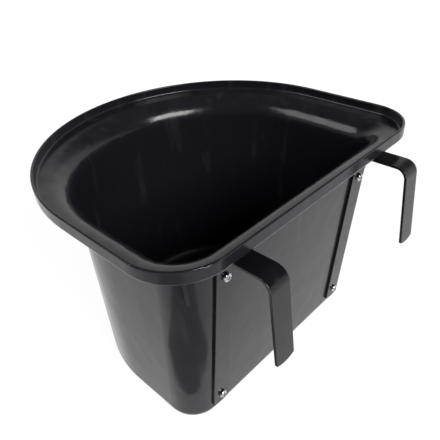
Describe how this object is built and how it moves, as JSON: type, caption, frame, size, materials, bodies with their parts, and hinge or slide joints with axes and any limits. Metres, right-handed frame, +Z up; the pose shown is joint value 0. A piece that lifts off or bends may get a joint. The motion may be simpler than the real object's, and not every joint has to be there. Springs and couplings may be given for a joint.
{
  "type": "hanging feed bucket",
  "caption": "D-shaped moulded feed bucket with a flat back, a wide upturned rim and flat steel hooks that hang it over a stable door or rail.",
  "frame": {"origin": "middle of the tub's flat underside", "axes": "+Z up; +Y out of the flat back, towards the hooks; +X to the right for someone standing at the round front"},
  "size_m": [0.4, 0.3953, 0.28],
  "materials": {
    "tub": "black moulded polypropylene, glossy",
    "hooks": "black gloss powder coat on flat steel bar",
    "fixings": "bright zinc plating"
  },
  "bodies": {
    "root": {"tub": "tub", "hook_left": "hooks", "hook_right": "hooks", "screw_upper_left": "fixings", "screw_upper_right": "fixings", "screw_lower_left": "fixings", "screw_lower_right": "fixings", "washer_upper_left": "fixings", "washer_upper_right": "fixings", "washer_lower_left": "fixings", "washer_lower_right": "fixings", "lock_nut_upper_left": "fixings", "lock_nut_upper_right": "fixings", "lock_nut_lower_left": "fixings", "lock_nut_lower_right": "fixings"}
  },
  "joints": []
}
